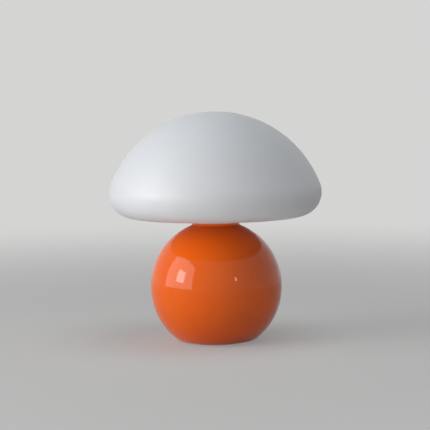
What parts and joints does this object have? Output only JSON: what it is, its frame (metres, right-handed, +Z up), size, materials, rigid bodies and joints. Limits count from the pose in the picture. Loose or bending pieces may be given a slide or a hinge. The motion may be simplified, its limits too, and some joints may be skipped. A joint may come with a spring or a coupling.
{
  "type": "mushroom table lamp",
  "caption": "Table lamp with a domed opal glass cap that lifts off a round lacquered ball base, with a screw-in candle bulb inside.",
  "frame": {"origin": "centre of the foot pad's underside, on the table", "axes": "+Z up along the lamp's axis of turning, +Y to the back where the cable enters, +X to the right seen from the front"},
  "size_m": [0.25, 0.25, 0.2701],
  "materials": {
    "orange_lacquer": "gloss orange lacquer over spun steel",
    "opal_glass": "satin etched white opal glass",
    "zinc_steel": "bright zinc plated steel",
    "cast_iron": "black painted rough casting",
    "grey_felt": "dark grey wool felt",
    "black_rubber": "matt black rubber",
    "clear_silicone": "milky silicone rubber",
    "black_phenolic": "semi gloss black moulding",
    "white_porcelain": "half glazed porcelain",
    "brass": "bright brass",
    "nickel_plate": "thin nickel plate",
    "black_glass": "black fused glass",
    "solder": "dull solder",
    "clear_glass": "clear glass",
    "filament_phosphor": "yellow phosphor coating"
  },
  "bodies": {
    "base": {"base_shell": "orange_lacquer", "inlet_grommet": "black_rubber", "base_plate": "zinc_steel", "foot_pad": "grey_felt", "weight": "cast_iron", "stem_tube": "zinc_steel", "stem_nut": "zinc_steel", "stem_washer": "zinc_steel", "weight_nut": "zinc_steel", "earth_tag": "zinc_steel", "earth_screw": "brass", "neck_cup": "zinc_steel", "cup_washer": "zinc_steel", "cup_nut": "zinc_steel", "neck_ring": "clear_silicone", "holder_cap": "black_phenolic", "holder_grub_screw": "zinc_steel", "holder_core": "white_porcelain", "holder_terminals": "brass", "holder_centre_contact": "brass", "holder_side_contact": "brass", "holder_sleeve": "brass", "holder_barrel": "black_phenolic"},
    "shade": {"shade_glass": "opal_glass"},
    "bulb": {"bulb_cap": "nickel_plate", "bulb_insulator": "black_glass", "bulb_tip": "solder", "bulb_glass": "clear_glass", "bulb_stem": "clear_glass", "bulb_filaments": "filament_phosphor", "bulb_wires": "nickel_plate"}
  },
  "joints": [
    {"name": "shade_lift", "type": "slide", "parent": "base", "child": "shade", "axis": [0, 0, 1], "range_m": [0, 0.125]},
    {"name": "bulb_turn", "type": "hinge", "parent": "base", "child": "bulb", "pos_m": [0, 0, 0.17], "axis": [0, 0, 1], "range_deg": [0, 1800]}
  ]
}
